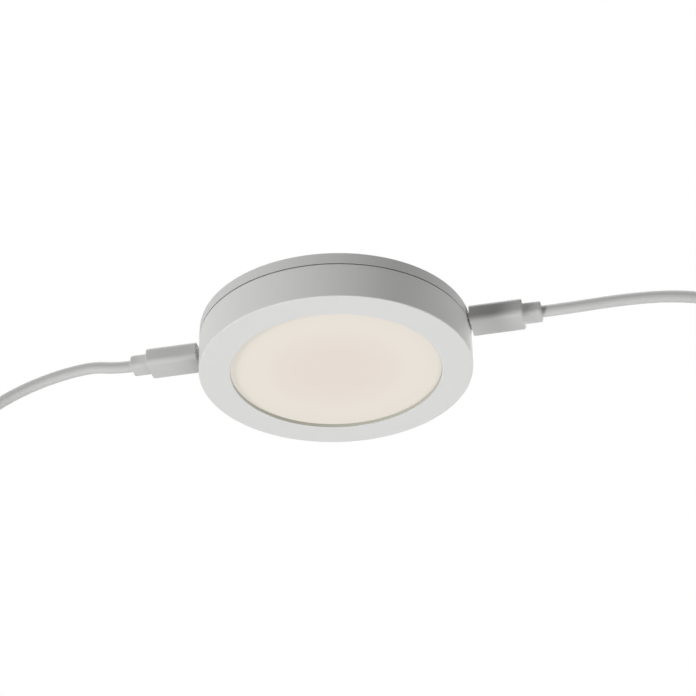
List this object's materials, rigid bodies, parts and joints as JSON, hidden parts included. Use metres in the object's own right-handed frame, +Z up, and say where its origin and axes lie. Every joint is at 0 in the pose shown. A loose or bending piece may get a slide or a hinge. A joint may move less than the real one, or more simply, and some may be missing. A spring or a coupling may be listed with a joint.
{
  "type": "under-cabinet light",
  "caption": "Slim round under-cabinet light with a recessed opal diffuser, hung face down, with a link lead plugged into each side.",
  "frame": {"origin": "centre of the rear face that meets the cabinet", "axes": "+Z up out of the rear face, lit face down; +X along the two link plugs"},
  "size_m": [0.2786, 0.07, 0.1171],
  "materials": {
    "housing": "fine satin white moulding",
    "cover": "fine satin white moulding",
    "opal": "opal diffuser, lit warm white from behind",
    "clear": "clear acrylic light guide",
    "strip": "white flexible circuit",
    "led": "phosphor-filled LED package",
    "reflector": "white reflective film",
    "foam": "closed-cell foam",
    "board": "white solder mask on glass-epoxy board",
    "component": "black moulded electronic packages",
    "socket": "white heat-resistant nylon",
    "contact": "gold-flashed brass",
    "wire": "thin insulated hook-up wire",
    "screw": "zinc-plated steel",
    "overmould": "soft satin white overmoulding",
    "insert": "hard white nylon tongue",
    "cord": "smooth satin white PVC jacket",
    "tie": "black hook-and-loop strap"
  },
  "bodies": {
    "light": {"front_housing": "housing", "diffuser": "opal", "light_guide": "clear", "led_strip": "strip", "leds": "led", "reflector_sheet": "reflector", "foam_pad": "foam", "circuit_board": "board", "board_components": "component", "strip_leads": "wire", "rear_cover": "cover", "cover_screws": "screw", "left_socket": "socket", "left_socket_contacts": "contact", "right_socket": "socket", "right_socket_contacts": "contact"},
    "left_lead": {"left_plug": "overmould", "left_plug_insert": "insert", "left_plug_contacts": "contact", "left_cord": "cord", "left_coil": "cord", "left_coil_tie": "tie", "left_tail": "cord", "left_far_plug": "overmould", "left_far_insert": "insert", "left_far_contacts": "contact"},
    "right_lead": {"right_plug": "overmould", "right_plug_insert": "insert", "right_plug_contacts": "contact", "right_cord": "cord", "right_coil": "cord", "right_coil_tie": "tie", "right_tail": "cord", "right_far_plug": "overmould", "right_far_insert": "insert", "right_far_contacts": "contact"}
  },
  "joints": [
    {"name": "left_plug_pull", "type": "slide", "parent": "light", "child": "left_lead", "axis": [-1, 0, 0], "range_m": [-0.0007, 0.01]},
    {"name": "right_plug_pull", "type": "slide", "parent": "light", "child": "right_lead", "axis": [1, 0, 0], "range_m": [0, 0.01]}
  ]
}
